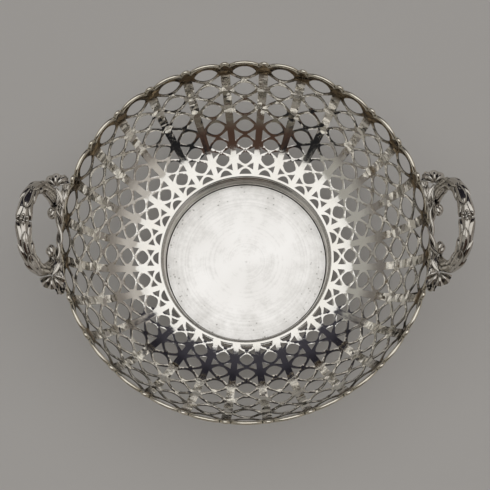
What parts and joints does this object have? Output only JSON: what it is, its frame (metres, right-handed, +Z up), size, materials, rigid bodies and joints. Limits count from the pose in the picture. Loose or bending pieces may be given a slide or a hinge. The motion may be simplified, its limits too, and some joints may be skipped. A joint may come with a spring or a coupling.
{
  "type": "pierced two-handled bowl",
  "caption": "Round silver bowl with a pierced oval-and-bar wall, scalloped wire rim, sunk plain centre on a collar foot, and two cast laurel loop handles.",
  "frame": {"origin": "on the resting plane, under the centre of the foot", "axes": "+Z up, out of the bowl; the two handles lie on +X and -X"},
  "size_m": [0.2644, 0.2294, 0.1198],
  "materials": {
    "polished_sheet": "polished pierced sterling sheet",
    "rim_wire_silver": "polished wire with a warm tone",
    "satin_plate": "soft satin with fine use scratches",
    "collar_silver": "polished",
    "cast_silver": "cast, with darkened recesses",
    "shell_silver": "cast and burnished flutes"
  },
  "bodies": {
    "root": {"pierced_wall": "polished_sheet", "rim_wire": "rim_wire_silver", "base_plate": "satin_plate", "collar": "collar_silver", "foot_ring": "collar_silver", "right_bow": "cast_silver", "right_rail": "cast_silver", "right_berries": "cast_silver", "right_shell_front": "shell_silver", "right_shell_back": "shell_silver", "right_bud_front": "cast_silver", "right_bud_back": "cast_silver", "right_spray_front": "cast_silver", "right_spray_back": "cast_silver", "left_bow": "cast_silver", "left_rail": "cast_silver", "left_berries": "cast_silver", "left_shell_front": "shell_silver", "left_shell_back": "shell_silver", "left_bud_front": "cast_silver", "left_bud_back": "cast_silver", "left_spray_front": "cast_silver", "left_spray_back": "cast_silver"}
  },
  "joints": []
}
